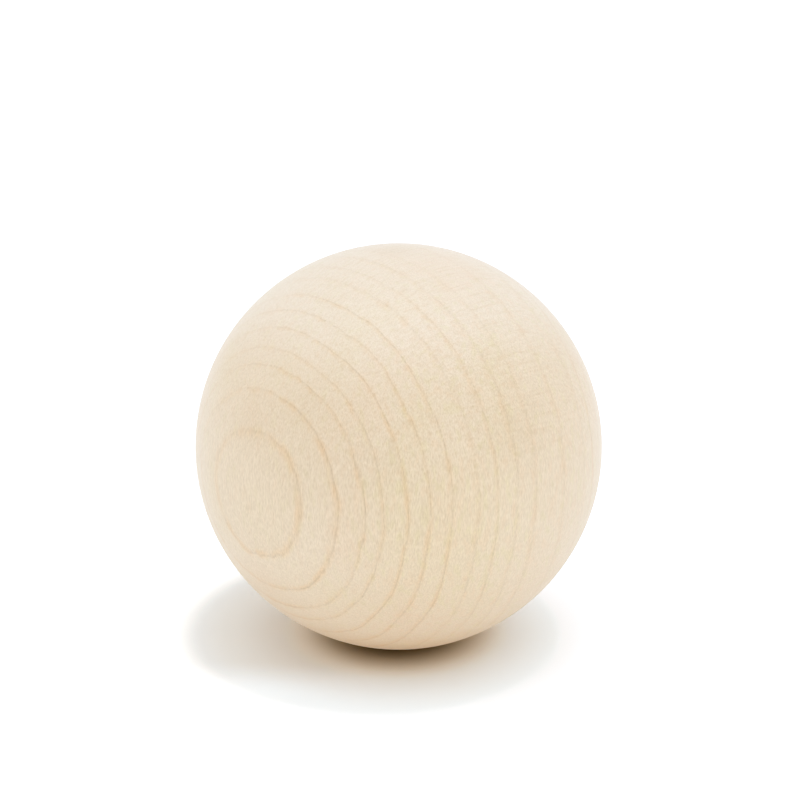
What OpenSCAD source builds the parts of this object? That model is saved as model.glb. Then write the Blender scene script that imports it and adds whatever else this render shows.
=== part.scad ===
// Plain wooden ball, turned from one solid piece of pale, close-grained
// hardwood and sanded all over, with no hole, flat, finish or marking.
//
// Millimetres. The origin is the ball's centre and +Z is up as the ball lies.

/* [Ball] */
// Diameter of the ball, the same in every direction
ball_d = 50.8; // [12.7:0.1:101.6]

/* [Hidden] */

// Colour of the bare wood
bare_wood = [0.93, 0.86, 0.75];

// Steps round the ball, for a smooth outline on screen
$fn = 180;

// The ball leaves the lathe as a true sphere: the grain shows on its skin,
// but gives it no edge, seam or step.
module ball() {
    color(bare_wood)
        sphere(d = ball_d);
}

ball();
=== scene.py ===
# %% [markdown]
# # A turned wooden ball
# The real thing is one plain ball, turned on a lathe from a single block of pale, close-grained
# hardwood such as maple, then sanded smooth and left bare. It has no hole, no flat and no varnish,
# so nearly all that an eye finds on it is the wood itself: growth rings cut by a round surface.
# This lesson keeps the ball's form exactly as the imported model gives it, works its skin out again
# as one fine smooth mesh, and grows the wood inside it as a solid pattern in three dimensions.
# A solid pattern is cut by the surface as a real block is cut by the lathe, so the rings close
# into ovals on one side, run straight on another, and show end grain on top, with no drawing.

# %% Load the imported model
import math

import bpy
import numpy as np
from mathutils import Matrix, Vector


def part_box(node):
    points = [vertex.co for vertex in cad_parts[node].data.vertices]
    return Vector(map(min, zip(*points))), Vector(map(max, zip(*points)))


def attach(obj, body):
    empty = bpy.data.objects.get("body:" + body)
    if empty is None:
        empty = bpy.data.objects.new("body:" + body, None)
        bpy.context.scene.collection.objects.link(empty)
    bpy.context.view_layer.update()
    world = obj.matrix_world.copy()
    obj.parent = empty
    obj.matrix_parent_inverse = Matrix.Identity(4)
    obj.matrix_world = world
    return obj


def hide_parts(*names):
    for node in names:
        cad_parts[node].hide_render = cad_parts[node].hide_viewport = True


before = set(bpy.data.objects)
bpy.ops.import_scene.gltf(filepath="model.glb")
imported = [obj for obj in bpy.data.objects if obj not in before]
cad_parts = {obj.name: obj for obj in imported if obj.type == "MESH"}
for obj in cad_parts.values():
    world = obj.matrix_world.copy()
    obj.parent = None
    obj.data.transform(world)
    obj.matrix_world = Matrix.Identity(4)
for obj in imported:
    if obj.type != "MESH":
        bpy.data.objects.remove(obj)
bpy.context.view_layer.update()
ball_low, ball_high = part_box("ball")
ball_radius = (ball_high[2] - ball_low[2]) / 2
mm = 0.001
print(f"The packed ball is {2 * ball_radius / mm:.1f} mm across, and its centre is the origin.")

# %% [markdown]
# ## Where the viewer stands
# The picture was taken from rather far off through a long lens, looking down by about 20 degrees,
# which is why the ball's outline is almost a true circle. The outline's size and place in the
# frame give the camera's distance in ball radii. The camera could be aimed at the ball and the
# frame shifted, but here it looks a little above the centre, with no shift, so that other views
# start from a plain camera.

# %% Place the camera
look_down = math.radians(20.4)
camera_away = 12.336 * ball_radius
ball_below_axis = 0.227 * ball_radius
ball_left_of_axis = 0.0064 * ball_radius
camera_lens = 112.5
sensor_width = 36.0
view_depth = 200 * ball_radius

camera_up = np.array([0.0, math.sin(look_down), math.cos(look_down)])
camera_back = np.array([0.0, -math.cos(look_down), math.sin(look_down)])
camera_right = np.array([1.0, 0.0, 0.0])
off_centre = ball_below_axis * camera_up + ball_left_of_axis * camera_right

camera_data = bpy.data.cameras.new("studio_camera")
camera_data.lens = camera_lens
camera_data.sensor_width = sensor_width
camera_data.clip_start = ball_radius
camera_data.clip_end = view_depth
camera = bpy.data.objects.new("studio_camera", camera_data)
camera.location = camera_away * camera_back + off_centre
camera.rotation_euler = (math.pi / 2 - look_down, 0.0, 0.0)
bpy.context.scene.collection.objects.link(camera)
bpy.context.scene.camera = camera
print("The camera stands at", [round(x, 4) for x in camera.location], "m.")

# %% [markdown]
# ## Writing shader sums as plain sums
# A material is a web of small nodes, and a sum of four terms is already a dozen of them. The
# class below wraps one socket and lets Python's own signs build that web: `1 - a * b` adds a
# Multiply and a Subtract node. Every other kind of node goes through one method, which sets the
# node's settings first and then gives its sockets their numbers or links. What is used most is
# ease, a smooth step. Further down, a value with levels in its name holds what ease takes: from
# where, to where, and then the level at each of them, if those aren't 0 and 1.

# %% A socket that can be added and multiplied
class Wire:
    """One value in a node tree. A sum, product or power of wires adds the Math nodes for it."""

    def __init__(self, tree, socket=None):
        self.tree = tree
        self.socket = socket

    def node(self, kind, settings=None, values=None, out=0):
        """Adds a node of this kind, and gives the output or the outputs that out names.

        In words: the settings are set first, then each socket is given its number or its link.
        """
        made = self.tree.nodes.new(kind)
        for name, value in (settings or {}).items():
            if name == "stops":
                self.set_stops(made.color_ramp, value)
            else:
                setattr(made, name, value)
        for name, value in (values or {}).items():
            if isinstance(value, Wire):
                self.tree.links.new(value.socket, made.inputs[name])
            else:
                made.inputs[name].default_value = value
        if isinstance(out, tuple):
            return [Wire(self.tree, made.outputs[name]) for name in out]
        return Wire(self.tree, made.outputs[out]) if made.outputs else None

    @staticmethod
    def set_stops(ramp, stops):
        """Gives a ramp level steps of colour, each from its own place up to the next one's."""
        ramp.interpolation = "CONSTANT"
        while len(ramp.elements) > 1:
            ramp.elements.remove(ramp.elements[-1])
        ramp.elements[0].position, ramp.elements[0].color = stops[0]
        for place, colour in stops[1:]:
            ramp.elements.new(place).color = colour

    def sum(self, operation, *values):
        """Adds one Math node that works on these values in order."""
        return self.node("ShaderNodeMath", {"operation": operation}, dict(enumerate(values)))

    def __add__(self, other):
        return self.sum("ADD", self, other)

    def __radd__(self, other):
        return self.sum("ADD", other, self)

    def __sub__(self, other):
        return self.sum("SUBTRACT", self, other)

    def __rsub__(self, other):
        return self.sum("SUBTRACT", other, self)

    def __mul__(self, other):
        return self.sum("MULTIPLY", self, other)

    def __rmul__(self, other):
        return self.sum("MULTIPLY", other, self)

    def __truediv__(self, other):
        return self.sum("DIVIDE", self, other)

    def __pow__(self, other):
        return self.sum("POWER", self, other)

    def ease(self, low, high, start=0.0, end=1.0):
        """Goes smoothly from start at low to end at high, and stays level outside them."""
        settings = {"interpolation_type": "SMOOTHSTEP", "clamp": True}
        values = {"Value": self, "From Min": low, "From Max": high, "To Min": start, "To Max": end}
        return self.node("ShaderNodeMapRange", settings, values)


print("A wire can be written with + - * / and **, and eased from one level to another.")

# %% [markdown]
# ## Colours and fresh trees
# A Math node would turn a colour grey. So colours are mixed by a Mix node, and where the tint
# itself changes from point to point, Vector Math multiplies each channel by its own.

# %% Helpers for colours
def new_tree(owner):
    """Empties the node tree of a material or a world and gives a wire to start from."""
    owner.use_nodes = True
    owner.node_tree.nodes.clear()
    return Wire(owner.node_tree)


def blend(under, over, how_much, way="MIX"):
    """Mixes two colours: where how_much is 0 the one under shows, and where it is 1 the one over."""
    settings = {"data_type": "RGBA", "blend_type": way}
    return how_much.node("ShaderNodeMix", settings, {0: how_much, 6: under, 7: over}, out=2)


def stain(colour, tint, how_much):
    """Multiplies a colour by a tint, as a thin layer of pigment does: not at all where how_much is 0."""
    return blend(colour, tint, how_much, "MULTIPLY")


def tinted(colour, tint):
    """Multiplies two colours that both change over the surface, each channel by its own."""
    return colour.node("ShaderNodeVectorMath", {"operation": "MULTIPLY"}, {0: colour, 1: tint})


print("Colours can be blended, stained and tinted.")

# %% [markdown]
# ## A white tent
# The light on the real ball is that of a photographer's white tent, and it comes from all round.
# It could be built from many lamps or from a picture of a studio, but a plain white world gives
# the same even light with nothing to aim. It stays at a plain level, at which the front of the
# ball shows the wood's colour about as it is written. The tent is pure white to the camera and in
# reflections, because the world's strength is 1 for those rays.

# %% The tent
tent_light = 0.93


def seen_directly(start):
    """Is 1 for rays that show a surface as such: from the camera, in a reflection or through glass."""
    names = ("Is Camera Ray", "Is Glossy Ray", "Is Transmission Ray")
    camera_ray, glossy_ray, through_ray = start.node("ShaderNodeLightPath", out=names)
    return start.sum("MAXIMUM", start.sum("MAXIMUM", camera_ray, glossy_ray), through_ray)


def white_tent():
    """Makes the world: plain white, of strength 1 where it is seen and tent_light where it lights."""
    world = bpy.data.worlds.new("white_tent")
    start = new_tree(world)
    strength = tent_light + (1 - tent_light) * seen_directly(start)
    glow = start.node("ShaderNodeBackground", values={"Color": (1, 1, 1, 1), "Strength": strength})
    start.node("ShaderNodeOutputWorld", values={"Surface": glow})
    bpy.context.scene.world = world


white_tent()
bpy.context.scene.view_settings.view_transform = "Standard"
print(f"The tent lights the ball at {tent_light}, and shows as 1.")

# %% [markdown]
# ## The table as the camera sees it
# The ball rests on a flat white sheet, and all that shows of it is the ball's shade. Soft light
# makes a shade by shelter: at x ball radii from the place where the ball rests, the ball hides
# the share (1 + x * x) to the power -1.5 of an even sky, which is all of it where they touch. The
# lamps and the tent give this by themselves, but a real picture shows the shade deeper close in
# and white sooner further out. So the sheet's own colour follows the same share once more. Blue
# is lost a little further out than red, which gives the shade its brown middle. Past a soft edge
# the sheet is lighter, so that it runs into the white tent with no horizon. On the left the real
# shade is deeper, and a soft patch there darkens it.

# %% The table's seen colour
# The shade's middle, and the shares of open sky at which red, green and blue are dark and full.
shelter_left = 0.015
shelter = ((-0.006, 0.316), (0.008, 0.341), (0.033, 0.366))
# The white of the sheet close in and far out, and the most that it may reach.
near_seen = (1.055, 1.155, 1.250)
far_seen = (1.06, 1.07, 1.08)
most_seen = (1.15, 1.22, 1.32)
near_to, far_from = 0.85, 1.20
# The shade's soft edge is a circle, a little left of the ball, past which the sheet is lighter.
edge_left = 0.11
shade_edge = (0.88, 1.08)
past_edge = 1.4
# The patch on the left: its colour close in and further out, and where it starts and is whole.
left_near = (0.84, 0.785, 0.725)
left_far = (0.85, 0.855, 0.855)
left_cools = (0.85, 1.12)
left_across = (-0.05, -0.42)
left_along = (-0.70, -0.34)
left_out = (0.38, 0.60)


def seen_colour(x, y, away_squared):
    """Gives the table's colour to the camera at a place in ball radii from where the ball rests.

    In words: the share of open sky is 1 - (1 + away squared) ** -1.5. Each channel is a white
    that changes from near to far, times a smooth step in that share, times the step up past the
    shade's edge, times the patch on the left, and it is never more than most_seen.
    """
    away = away_squared ** 0.5
    open_sky = 1 - (1 + away_squared) ** -1.5
    from_edge_middle = ((x + edge_left) ** 2 + y * y) ** 0.5
    opened = from_edge_middle.ease(*shade_edge, 1.0, past_edge)
    on_left = x.ease(*left_across) * y.ease(*left_along) * away.ease(*left_out)
    channels = []
    for channel, (darkest_at, full_at) in enumerate(shelter):
        white = away.ease(near_to, far_from, near_seen[channel], far_seen[channel])
        left = away.ease(*left_cools, left_near[channel], left_far[channel])
        level = opened * white * open_sky.ease(darkest_at, full_at) * (1 - (1 - left) * on_left)
        channels.append(level.sum("MINIMUM", level, most_seen[channel]))
    names = ("Red", "Green", "Blue")
    return x.node("ShaderNodeCombineColor", values=dict(zip(names, channels)))


print(f"The shade's soft edge lies {shade_edge[0]} to {shade_edge[1]} ball radii from its middle.")

# %% [markdown]
# ## The table as a reflector
# The sheet also throws light up at the ball. Far out it is nearly white. Close in it lies in the
# ball's own shade, and what light gets there has met the wood already, so it goes back up warm.
# That glow under the ball could be left to the bounces of the light alone, but here too the real
# one is stronger, so the sheet is warm to the rays that only carry light. From below it is clear,
# so that the underside of the ball can be looked at as well.

# %% The table
warm_bounce = (0.84, 0.53, 0.13, 1.0)
white_bounce = (0.98, 0.965, 0.930, 1.0)
warm_reach = (0.60, 1.36)
table_half = 60 * ball_radius


def table_paint():
    """Makes the table's material: a matt white with its two colours from above, clear from below."""
    paint = bpy.data.materials.new("table_white")
    start = new_tree(paint)
    point = start.node("ShaderNodeTexCoord", out="Object")
    x, y = start.node("ShaderNodeSeparateXYZ", values={"Vector": point}, out=("X", "Y"))
    x, y = x / ball_radius, y / ball_radius
    away_squared = (x + shelter_left) ** 2 + y * y
    bounce = blend(warm_bounce, white_bounce, (away_squared ** 0.5).ease(*warm_reach))
    colour = blend(bounce, seen_colour(x, y, away_squared), seen_directly(start))
    chalk = start.node("ShaderNodeBsdfDiffuse", values={"Color": colour})
    clear = start.node("ShaderNodeBsdfTransparent")
    from_below = start.node("ShaderNodeNewGeometry", out="Backfacing")
    both = start.node("ShaderNodeMixShader", values={0: from_below, 1: chalk, 2: clear})
    start.node("ShaderNodeOutputMaterial", values={"Surface": both})
    return paint


def white_table():
    """Makes the table: one flat square at the height of the ball's lowest point."""
    signs = ((-1, -1), (1, -1), (1, 1), (-1, 1))
    corners = [(x * table_half, y * table_half, ball_low[2]) for x, y in signs]
    mesh = bpy.data.meshes.new("table")
    mesh.from_pydata(corners, [], [(0, 1, 2, 3)])
    mesh.materials.append(table_paint())
    table = bpy.data.objects.new("table", mesh)
    bpy.context.scene.collection.objects.link(table)
    return table


white_table()
print(f"The table lies at z = {ball_low[2] / mm:.1f} mm, where the ball touches it.")

# %% [markdown]
# ## Two soft boxes
# The tent alone would light the ball the same on all sides and show it flat. A wide soft box
# straight overhead makes its top lighter. A weaker one stands in front, a little to the right
# and not far above the table, and keeps the lower front from going dull. Small lamps would do
# the same with a hard shine and a second shadow, which the real ball doesn't have.

# %% The soft boxes
overhead_watts = 0.9
front_watts = 0.40
lamp_wide = 0.7
lamp_away = 0.8
straight_up = math.pi / 2
front_turn = math.radians(25)
front_height = math.radians(6)


def soft_box(name, watts, turn, height):
    """Makes a wide square lamp that faces the ball and isn't itself seen.

    In words: turn is its angle round the ball from the viewer's side towards the right, and
    height its angle above the table's level. It stands at lamp_away from the ball's centre.
    """
    level = math.cos(height)
    toward = np.array([math.sin(turn) * level, -math.cos(turn) * level, math.sin(height)])
    lamp = bpy.data.lights.new(name, "AREA")
    lamp.size = lamp_wide
    lamp.energy = watts
    box = bpy.data.objects.new(name, lamp)
    box.location = lamp_away * toward
    box.rotation_euler = Vector(toward).to_track_quat("Z", "Y").to_euler()
    box.visible_camera = False
    bpy.context.scene.collection.objects.link(box)


soft_box("overhead_soft_box", overhead_watts, 0.0, straight_up)
soft_box("front_soft_box", front_watts, front_turn, front_height)
print(f"The soft boxes are {lamp_wide} m wide and stand {lamp_away} m from the ball's centre.")

# %% [markdown]
# ## How the ball sits in the wood
# A block has three directions of its own. The grain runs up the trunk; the radial direction runs
# from the bark to the pith, straight through the rings; and the third runs along the rings. In
# this ball the grain stands nearly upright and leans back a little, and the radial direction
# points to the front left, so that the rings close into ovals there. Everything that grows in
# the wood is worked out along these three directions, and so is the ball's mesh.

# %% The wood's three directions
grain_lean = math.radians(4.4)
radial_turn = math.radians(44.7)


def wood_directions():
    """Gives the radial, ring and grain directions as unit vectors at right angles to each other."""
    grain = np.array([0.0, math.sin(grain_lean), math.cos(grain_lean)])
    level = np.array([-math.sin(radial_turn), -math.cos(radial_turn), 0.0])
    radial = level - grain * (level @ grain)
    radial /= np.linalg.norm(radial)
    return np.array([radial, np.cross(grain, radial), grain])


directions = wood_directions()
print("Radial, ring and grain directions:")
print(directions.round(3))

# %% [markdown]
# ## The skin of the ball
# A ball can be made from rings and segments, but those crowd together at two poles, where a fine
# finish always shows a star. Here a cube is blown up instead: each of its six square faces is a
# grid, and every point is pushed out until it lies on the sphere. Equal steps in angle keep the
# squares nearly the same size everywhere. The cube is turned to the wood's directions, so that
# each face is one honest cut of the wood: two plain faces, two quarter-cut ones and two end grain.

# %% Six curved patches, joined
patch_steps = 96
same_place = mm / 10000


def ball_patches(radius, steps):
    """Gives six grids of points on a sphere, each with its own outward direction.

    In words: each patch has an outward, a side and a long direction. Two angles run evenly from
    -45 to 45 degrees. The point is outward + tan(first angle) * side + tan(second angle) * long,
    brought to the length of the radius.
    """
    radial, ring, grain = directions
    outward = np.array([radial, -radial, ring, -ring, grain, -grain])
    side = np.array([ring, -ring, -radial, radial, radial, radial])
    long = np.cross(outward, side)
    slope = np.tan(np.linspace(-math.pi / 4, math.pi / 4, steps + 1))
    across = slope[None, :, None, None] * side[:, None, None, :]
    up = slope[None, None, :, None] * long[:, None, None, :]
    points = outward[:, None, None, :] + across + up
    return radius * points / np.linalg.norm(points, axis=-1, keepdims=True)


def join_points(points):
    """Gives each different point once, and for every grid place the number of its point.

    In words: places are rounded to a ten-thousandth of a millimetre, and equal ones share a number.
    """
    grid = np.round(points.reshape(-1, 3) / same_place).astype(np.int64)
    first, number = np.unique(grid, axis=0, return_index=True, return_inverse=True)[1:]
    return points.reshape(-1, 3)[first], number.reshape(points.shape[:-1])


def corners_of(grid):
    """Gives the four corners of every square of a grid, going round it anticlockwise."""
    low_low, high_low = grid[:, :-1, :-1], grid[:, 1:, :-1]
    high_high, low_high = grid[:, 1:, 1:], grid[:, :-1, 1:]
    return np.stack([low_low, high_low, high_high, low_high], axis=3)


patches = ball_patches(ball_radius, patch_steps)
skin_points, point_number = join_points(patches)
squares = corners_of(point_number).reshape(-1, 4)
print(f"The skin has {len(skin_points)} points and {2 * len(squares)} triangles.")

# %% [markdown]
# ## Laying the skin out flat
# A finished colour can be stored as a flat picture, and then each point of the skin needs a place
# in it. A map of rings and segments would draw each pole out into a line. The six patches keep
# their form instead, and go into the square in two columns of three, a little apart from each
# other. A sixth of the square is wider than it is high, so the wide way runs across the grain,
# where the wood has its finest detail.

# %% A flat place for every corner
flat_columns, flat_rows = 2, 3
flat_gap = 0.004


def flat_places(steps):
    """Gives the flat place of every grid point of the six patches.

    In words: patch number k lies in column k mod 2 and row k div 2. Inside its cell the two grid
    directions run evenly from one margin to the other.
    """
    patch = np.arange(flat_columns * flat_rows)
    cell = np.array([1 / flat_columns, 1 / flat_rows])
    corner = np.stack([patch % flat_columns, patch // flat_columns], axis=1) * cell + flat_gap
    run = np.linspace(0.0, 1.0, steps + 1)
    both_ways = np.stack(np.meshgrid(run, run, indexing="ij"), axis=-1)
    return corner[:, None, None, :] + (cell - 2 * flat_gap) * both_ways


places = flat_places(patch_steps)
place_number = np.arange(places[..., 0].size).reshape(places.shape[:3])
corner_places = places.reshape(-1, 2)[corners_of(place_number).ravel()]
print("Flat map runs from", corner_places.min(axis=0).round(3), "to", corner_places.max(axis=0).round(3))

# %% [markdown]
# ## Putting the skin together
# The points, the squares and the flat places become one mesh, each handed over as a whole array.
# It is closed, its faces point outwards, and smooth shading takes away what is left of its facets.

# %% The turned ball
skin = bpy.data.meshes.new("turned_ball")
skin.from_pydata(skin_points.tolist(), [], squares.tolist())
flat_map = skin.uv_layers.new(name="OFBake")
flat_map.uv.foreach_set("vector", corner_places.astype(np.float32).ravel())
skin.shade_smooth()
skin.validate()
turned_ball = bpy.data.objects.new("turned_ball", skin)
bpy.context.scene.collection.objects.link(turned_ball)
print(f"The mesh has {len(skin.polygons)} square faces.")

# %% [markdown]
# ## Growth rings
# Each year the tree adds a pale layer and closes it in autumn with a thin line of dense orange-tan
# cells. So a ring isn't a wave: it is a sharp line with a pale band on its bark side, and a
# slight deepening of colour on its pith side. Years differ, so the lines are a list: how many
# millimetres from the ball's centre along the radial direction, how strong, and how wide. The
# places and the bends were measured on the picture and rounded, and the years that it doesn't
# show are a guess. The rings are nearly flat sheets at this distance from the pith. They round
# gently about the trunk, lean, bow and twist a little, and bend towards the ends of the grain.

# %% The years and how the rings bend
# How strong a line is, in the words that a maker would use.
faint, pale, soft, plain, firm, strong, strongest = 0.16, 0.26, 0.32, 0.42, 0.52, 0.66, 0.86
year_lines = [
    (-24.0, firm, 0.24),
    (-21.4, strong, 0.28),
    (-19.3, soft, 0.36),
    (-16.6, firm, 0.40),
    (-13.9, faint, 0.70),
    (-11.2, plain, 0.50),
    (-8.6, faint, 1.20),
    (-3.8, pale, 0.80),
    (1.4, pale, 0.92),
    (4.2, soft, 0.85),
    (7.0, plain, 0.50),
    (9.4, soft, 0.75),
    (12.5, strong, 0.42),
    (14.8, firm, 0.42),
    (17.0, strong, 0.34),
    (19.1, firm, 0.32),
    (20.5, strong, 0.30),
    (22.2, strongest, 0.29),
    (24.2, strongest, 0.26),
]
# How far each bend carries a ring where the ball's surface is, in millimetres.
ring_lean = 0.18
ring_round = -1.0
ring_bow = 0.25
ring_twist = -0.46
ring_fan_side = 0.5
ring_fan_grain = -0.6
ring_end_bend = -1.8


def ring_depth(radial, side, grain):
    """Gives how deep a point lies among the rings, in millimetres.

    In words: depth is the radial distance, plus small bends. Each bend is its size in
    millimetres at the ball's surface, times a product of the three places in ball radii.
    """
    straight = radial * (ball_radius / mm) + ring_lean * grain
    rounded = ring_round * side ** 2 + ring_bow * grain ** 2 + ring_twist * (side * grain)
    fanned = ring_fan_side * (radial * side) + ring_fan_grain * (radial * grain)
    return straight + rounded + fanned + ring_end_bend * (grain * grain * grain)


mean_year = (year_lines[-1][0] - year_lines[0][0]) / (len(year_lines) - 1)
print(f"{len(year_lines)} years cross the ball, about {mean_year:.1f} mm apart.")

# %% [markdown]
# ## Finding the nearest year
# The shader has to know, for any depth, which year's line it is near. A sum with one narrow bump
# for every line would take hundreds of nodes. A colour ramp with level steps does it in one, as a
# small table: its red holds the line's place, its green how strong it is and its blue how wide.
# A year's step begins a little before its line, because nearly all of what a line does to the
# colour lies on its pith side.

# %% The table of years
depth_span = 27.0
step_before_line = 0.3
widest_line = 1.25


def along_ramp(depth):
    """Turns a depth in millimetres into a place on the ramp, from 0 to 1."""
    return (depth + depth_span) / (2 * depth_span)


def year_steps():
    """Gives the ramp's steps, one for each year, from the bark side to the pith side."""
    steps = []
    last_place = -depth_span
    for place, strength, wide in year_lines:
        begin = place - step_before_line * (place - last_place)
        colour = (along_ramp(place), strength, wide / widest_line, 1.0)
        steps.append((along_ramp(begin) if steps else 0.0, colour))
        last_place = place
    return steps


def nearest_year(depth):
    """Gives the place, strength and width of the line whose year this depth lies in."""
    stops = {"stops": year_steps()}
    colour = depth.node("ShaderNodeValToRGB", stops, {"Fac": along_ramp(depth)}, out="Color")
    parts = ("Red", "Green", "Blue")
    place, strength, wide = depth.node("ShaderNodeSeparateColor", values={"Color": colour}, out=parts)
    return place * (2 * depth_span) - depth_span, strength, wide * widest_line


print(f"The table reaches {depth_span} mm to both sides of the ball's centre.")

# %% [markdown]
# ## Noise with a length for each direction
# Wood is made of long cells, so its fine detail is stretched: vessels run along the grain, and
# rays run from bark to pith as thin ribbons. One helper gives noise whose lumps have a chosen
# size in millimetres along each of the wood's three directions. On a side face it then shows as
# streaks and on end grain as dots, as the real cells do. Each use has a seed of its own, so that
# no two patterns fall on the same places.

# %% Stretched noise
def wood_places(in_wood):
    """Gives a point's place along the radial, ring and grain directions, in ball radii."""
    return in_wood.node("ShaderNodeSeparateXYZ", values={0: in_wood}, out=("X", "Y", "Z"))


def lumps(in_wood, sizes, seed, detail=1.0):
    """Gives noise about 0, mostly within 0.5 either way, whose lumps have these sizes in millimetres."""
    stretch = [ball_radius / mm / size for size in sizes]
    spread = in_wood.node("ShaderNodeVectorMath", {"operation": "MULTIPLY"}, {0: in_wood, 1: stretch})
    values = {"Vector": spread, "W": seed, "Scale": 1.0, "Detail": detail}
    noise = in_wood.node("ShaderNodeTexNoise", {"noise_dimensions": "4D"}, values, out="Fac")
    return 2 * (noise - 0.5)


print(f"A lump of 1 mm is {mm / ball_radius:.3f} ball radii long.")

# %% [markdown]
# ## One year's line
# Seen close, a line is three things. Its core is a hairline of dense brown cells. Round the core
# lies a broader orange wash. On the pith side the last summer cells deepen the colour a little,
# for about a millimetre and a half. Lines aren't equally strong all the way either. Each has
# stronger and weaker stretches of its own. On the front of the ball they pale on the flank at
# the upper left of the ovals, and in the middle of the ovals, where the surface lies flat along
# a ring, the core is cut at a slant and thins out. A line could be drawn on the skin, but
# sums over the place in the wood hold from every side.

# %% The core, the wash and the late wood of a line
# The core and the wash are in widths of the line, and the late wood is in millimetres.
core_share = 0.52
wash_middle = 0.20
wash_share = 1.20
late_reach = 1.5
# The stronger and weaker stretches of a line.
stretch_size = (30.0, 6.0, 10.0)
stretch_seed = 1.07
stretch_levels = (-0.35, 0.35, 0.62, 1.08)
# The flank: the direction away from it, how much a line pales there, and the front half's levels.
flank_side, flank_grain = 0.87, -0.50
flank_blur = 0.1
flank_levels = (-0.95, 0.45, 0.60, 0.0)
front_levels = (-0.5, 0.15)
# What is left of the core and of the wash towards the middle of the ovals.
flat_core_levels = (0.75, 0.97, 1.0, 0.50)
flat_wash_levels = (0.75, 0.97, 1.0, 0.95)


def line_strength(in_wood, place, strength):
    """Gives how strong the line at this place is at a point.

    In words: it is the year's own strength, less up to six tenths of it on the front's upper
    left flank, times slow noise that is another for each line.
    """
    radial, side, grain = wood_places(in_wood)
    round_axis = (side * side + grain * grain) ** 0.5 + flank_blur
    flank = (flank_side * side + flank_grain * grain) / round_axis
    paled = flank.ease(*flank_levels) * radial.ease(*front_levels)
    noise = lumps(in_wood, stretch_size, place * stretch_seed)
    return strength * (1 - paled) * noise.ease(*stretch_levels)


def year_line(in_wood, depth):
    """Gives how much of a line's core, of the wash round it and of its late wood shows at a depth.

    In words: past the line's place the core comes in over a short edge and fades over its share
    of the width. The wash fades both ways from a little past the place, and the late wood fades
    more slowly, on the pith side alone.
    """
    place, strength, wide = nearest_year(depth)
    strength = line_strength(in_wood, place, strength)
    radial = wood_places(in_wood)[0]
    past = depth - place
    widths = past / wide
    edge = widths.ease(-core_share / 2, 0.0)
    core = edge * widths.ease(0.0, core_share, 1.0, 0.0) * radial.ease(*flat_core_levels)
    wash = widths.sum("ABSOLUTE", widths - wash_middle).ease(0.0, wash_share, 1.0, 0.0)
    late = edge * past.ease(0.0, late_reach, 1.0, 0.0) ** 2
    return core * strength, wash * radial.ease(*flat_wash_levels) * strength, late * strength


print(f"A line's core takes {core_share} of its width, and its late wood reaches {late_reach} mm.")

# %% [markdown]
# ## Laying the years over the wood
# Real lines wander: slowly, as the trunk grew, and finely, as cells of different sizes lie along
# them. So slow and fine noise is added to the depth before the line is looked up. The core is
# broken into flecks, and the wash is blotchy, because they are made of cells and not of ink.

# %% The years in colour
core_tint = (0.836, 0.840, 0.835, 1.0)
wash_tint = (1.0, 0.935, 0.848, 1.0)
late_tint = (0.984, 0.968, 0.950, 1.0)

wander, wander_size, wander_seed = 0.35, (12.0, 6.0, 9.0), 3.1
feather, feather_size, feather_seed = 0.09, (0.7, 0.7, 3.0), 8.4
fleck_size, fleck_seed = (0.45, 0.45, 1.0), 52.3
fleck_levels = (-0.3, 0.3, 0.6, 1.4)
blotch_size, blotch_seed = (1.5, 1.5, 4.0), 41.9
blotch_levels = (-0.3, 0.3, 0.35, 1.75)


def with_years(colour, in_wood):
    """Stains the wood with the late wood, the blotchy wash and the flecked core of every year."""
    depth = ring_depth(*wood_places(in_wood))
    depth = depth + wander * lumps(in_wood, wander_size, wander_seed)
    depth = depth + feather * lumps(in_wood, feather_size, feather_seed, detail=0.0)
    core, wash, late = year_line(in_wood, depth)
    flecks = lumps(in_wood, fleck_size, fleck_seed).ease(*fleck_levels)
    blotches = lumps(in_wood, blotch_size, blotch_seed).ease(*blotch_levels)
    colour = stain(colour, late_tint, late)
    colour = stain(colour, wash_tint, wash * blotches)
    return stain(colour, core_tint, core * flecks)


print(f"The lines wander slowly, mostly by less than {wander / 2:.2f} mm either way.")

# %% [markdown]
# ## The pale ground
# Between the lines the wood is nearly one colour, but not quite: it drifts slowly towards pink
# and towards yellow. Towards both ends of the grain it is blended a little towards white, as end
# grain can be paler, and at the top this white is also a painted highlight of the light from above.
# One flat colour would look like plastic, and quick changes would look like dirt, so the drift's
# lumps are 7 to 16 mm in size.

# %% The ground and its drift
pale_wood = (0.797, 0.674, 0.516, 1.0)
pink_drift = (1.0, 0.970, 0.955, 1.0)
yellow_drift = (0.985, 0.985, 0.940, 1.0)
drift_size, drift_seed = (9.0, 7.0, 16.0), 21.7
drift_full = 0.6
# Both ends of the grain go a little towards white; at the top this is a painted highlight.
end_pale_and_highlight = (1.0, 1.0, 1.0, 1.0)
end_pale_and_highlight_share = 0.20
end_pale_and_highlight_levels = (0.2, 0.65)


def pale_ground(in_wood):
    """Gives the ground's colour: pink where the drift is above 0, yellow below, paler at both ends."""
    drift = lumps(in_wood, drift_size, drift_seed)
    colour = stain(pale_wood, pink_drift, drift.ease(0.0, drift_full))
    colour = stain(colour, yellow_drift, drift.ease(0.0, -drift_full))
    grain = wood_places(in_wood)[2]
    return blend(colour, end_pale_and_highlight, end_pale_and_highlight_share * (grain * grain).ease(*end_pale_and_highlight_levels))


print("The ground's colour is", pale_wood[:3])
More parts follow.
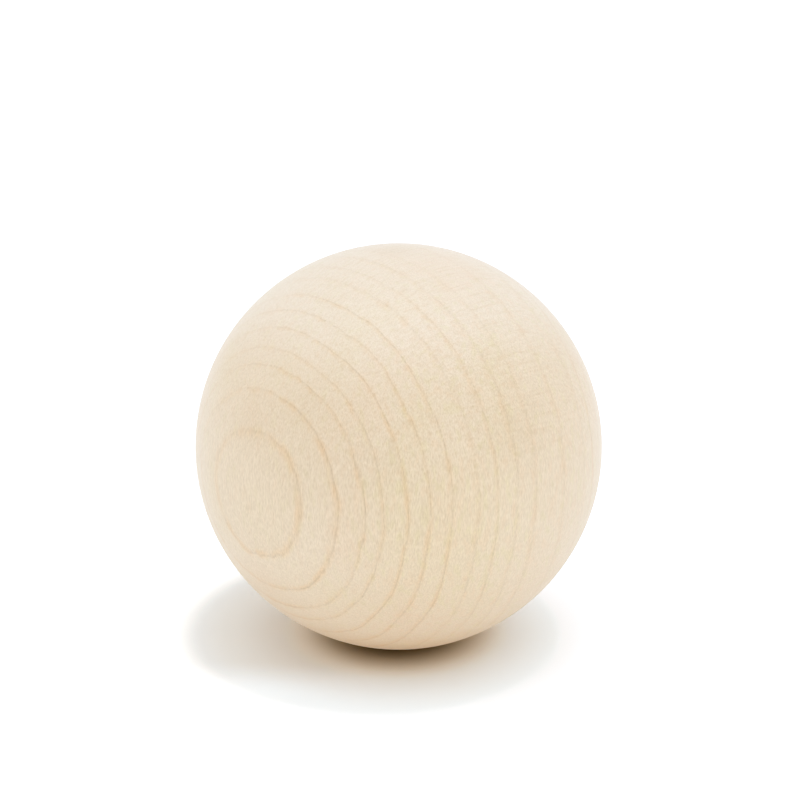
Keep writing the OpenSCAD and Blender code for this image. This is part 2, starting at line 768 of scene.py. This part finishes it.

# %% [markdown]
# ## Clouds and light patches
# A block also has places that are duller, lighter or yellower for no reason that an eye can
# find. They are few and large, so each is written down as a round spot: its middle in the wood's
# own directions, its reach, and its weight. A spot fades out smoothly, so its edge never shows.
# A lightened spot's tint is above 1, so it lightens the wood. The two lie low on the front, one to each
# side.

# %% The spots
cloud_tint = (0.955, 0.945, 0.920, 1.0)
lighten_tint = (1.020, 1.038, 1.068, 1.0)
honey_tint = (1.0, 1.0, 0.950, 1.0)
clouds = [
    ((0.95, 0.0, 0.30), 0.22, 0.6),
    ((0.88, 0.25, 0.41), 0.20, 0.5),
    ((0.16, 0.93, 0.33), 0.32, 0.7),
    ((0.87, 0.42, 0.22), 0.55, 0.65),
    ((0.60, 0.77, 0.20), 0.50, 0.45),
    ((0.04, 0.02, 1.0), 0.17, 1.0),
]
# Two spots that lighten the wood low on the front, one to each side.
lightened = [
    ((0.90, 0.27, -0.34), 0.55, 0.9),
    ((0.14, 0.94, -0.33), 0.60, 0.8),
]
honeyed = [
    ((0.52, 0.84, -0.12), 0.62, 0.9),
]


def spots_at(in_wood, spots):
    """Adds up round spots: each is its weight at its middle and fades to 0 at its reach, in ball radii."""
    total = 0.0
    for middle, reach, weight in spots:
        pair = {0: in_wood, 1: middle}
        away = in_wood.node("ShaderNodeVectorMath", {"operation": "DISTANCE"}, pair, out="Value")
        total = total + away.ease(0.0, reach, weight, 0.0)
    return total


def with_patches(colour, in_wood):
    """Stains the ground with the clouds, the lightened patches and the honeyed one."""
    colour = stain(colour, cloud_tint, spots_at(in_wood, clouds))
    colour = stain(colour, lighten_tint, spots_at(in_wood, lightened))
    return stain(colour, honey_tint, spots_at(in_wood, honeyed))


print(f"{len(clouds)} clouds, {len(lightened)} bleached patches and {len(honeyed)} honeyed one.")

# %% [markdown]
# ## Mottle on the quarter-cut faces
# Where the surface is cut square to the rings, such wood shows a faint mottle of pink and olive,
# a millimetre or so across. It is weaker in the ovals, where the surface lies along the rings.
# A picture of real wood would bring its own light and its seams along, and noise in the block has
# neither. Its strength follows the place along the third direction, largest on those faces.

# %% The mottle
pink_mottle = (1.0, 0.972, 0.950, 1.0)
olive_mottle = (0.978, 0.990, 0.930, 1.0)
mottle_size, mottle_seed = (0.8, 0.8, 2.0), 33.1
mottle_full = 0.5
figure_levels = (0.05, 0.50, 0.65, 1.40)


def with_mottle(colour, in_wood):
    """Stains the wood pink where the mottle is above 0 and olive below, most on quarter-cut faces."""
    mottle = lumps(in_wood, mottle_size, mottle_seed)
    side = wood_places(in_wood)[1]
    figure = (side * side).ease(*figure_levels)
    colour = stain(colour, pink_mottle, figure * mottle.ease(0.0, mottle_full))
    return stain(colour, olive_mottle, figure * mottle.ease(0.0, -mottle_full))


print(f"The mottle's lumps are {mottle_size[0]} mm across and {mottle_size[2]} mm long.")

# %% [markdown]
# ## Fibres and rays
# The finest thing that an eye still finds is the fibre: short streaks along the grain, some
# darker and some lighter than the wood about them. They vary both ways about the ground, so the
# wood's own colour stays as it is on average. In a few broad places they are clearer. Rays are
# thin ribbons from bark to pith. In the ovals the surface cuts them end on, and they are small
# dots. On the quarter-cut faces it cuts them lengthwise, and they are fine dashes across the
# grain. They show more towards the top of the ball. Both could be drawn stroke by stroke, but
# stretched noise gives thousands of strokes from one node.

# %% The fibres and the rays
fibre_light = (1.130, 1.145, 1.175, 1.0)
fibre_dark = (0.870, 0.855, 0.825, 1.0)
fibre_size, fibre_seed = (0.125, 0.125, 0.64), 5.3
fibre_gain = 0.60
fibre_clearest = [
    ((0.60, 0.77, 0.20), 0.90, 0.24),
    ((1.0, 0.0, -0.1), 0.60, 0.20),
    ((0.02, 0.79, 0.61), 0.60, 0.20),
]
ray_tint = (0.955, 0.930, 0.890, 1.0)
ray_size, ray_seed = (5.0, 0.34, 0.38), 13.9
ray_levels = (-0.2, 0.6)
ray_height_levels = (-0.1, 0.45, 0.3, 1.0)


def with_fibres(colour, in_wood, fibre):
    """Tints the wood between the dark and the light fibre colour, by the fibre noise and its gain."""
    gain = fibre_gain + spots_at(in_wood, fibre_clearest)
    return tinted(colour, blend(fibre_light, fibre_dark, 0.5 + gain * fibre))


def with_rays(colour, in_wood):
    """Stains the wood with the rays, three tenths as strong below the middle as near the top."""
    rays = lumps(in_wood, ray_size, ray_seed).ease(*ray_levels)
    grain = wood_places(in_wood)[2]
    return stain(colour, ray_tint, rays * grain.ease(*ray_height_levels))


print(f"Fibres are {fibre_size[0]} mm wide and {fibre_size[2]} mm long, and rays {ray_size[0]} mm long.")

# %% [markdown]
# ## The bare wood
# The material is put together as the wood is: the ground and its patches, then the years, then
# the mottle, the fibres and the rays. Each of them multiplies what is under it, as more pigment
# does. The surface is sanded but bare, so it is matt, with the thin fuzz that sandpaper leaves,
# which lightens the ball's edge. The bump is slight: open vessels are shallow scratches that a
# finger hardly feels. One Mapping node turns the object's coordinates into the wood's own
# directions, so the whole pattern turns with one set of angles.

# %% Put the wood together
matt = 0.42
matt_change = 0.06
fuzz = {"Sheen Weight": 0.4, "Sheen Roughness": 0.4}
fibre_bump = 0.012 * mm


def bare_hardwood():
    """Makes the wood's material, all of it from the place of a point within the block."""
    wood = bpy.data.materials.new("bare_hardwood")
    start = new_tree(wood)
    point = start.node("ShaderNodeTexCoord", out="Object")
    turn = Matrix(directions.tolist()).to_euler()
    to_wood = {"Vector": point, "Rotation": turn, "Scale": (1 / ball_radius,) * 3}
    in_wood = start.node("ShaderNodeMapping", {"vector_type": "POINT"}, to_wood)
    fibre = lumps(in_wood, fibre_size, fibre_seed)

    colour = with_patches(pale_ground(in_wood), in_wood)
    colour = with_years(colour, in_wood)
    colour = with_mottle(colour, in_wood)
    colour = with_fibres(colour, in_wood, fibre)
    colour = with_rays(colour, in_wood)

    height = {"Height": 0 - fibre, "Distance": fibre_bump}
    relief = start.node("ShaderNodeBump", values=height, out="Normal")
    roughness = matt + matt_change * fibre
    values = {"Base Color": colour, "Roughness": roughness, "Normal": relief, **fuzz}
    surface = start.node("ShaderNodeBsdfPrincipled", values=values)
    start.node("ShaderNodeOutputMaterial", values={"Surface": surface})
    return wood


skin.materials.append(bare_hardwood())
print(f"The wood is made of {len(skin.materials[0].node_tree.nodes)} nodes.")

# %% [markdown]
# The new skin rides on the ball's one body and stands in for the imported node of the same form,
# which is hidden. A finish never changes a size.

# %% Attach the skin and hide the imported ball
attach(turned_ball, "root")
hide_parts("ball")
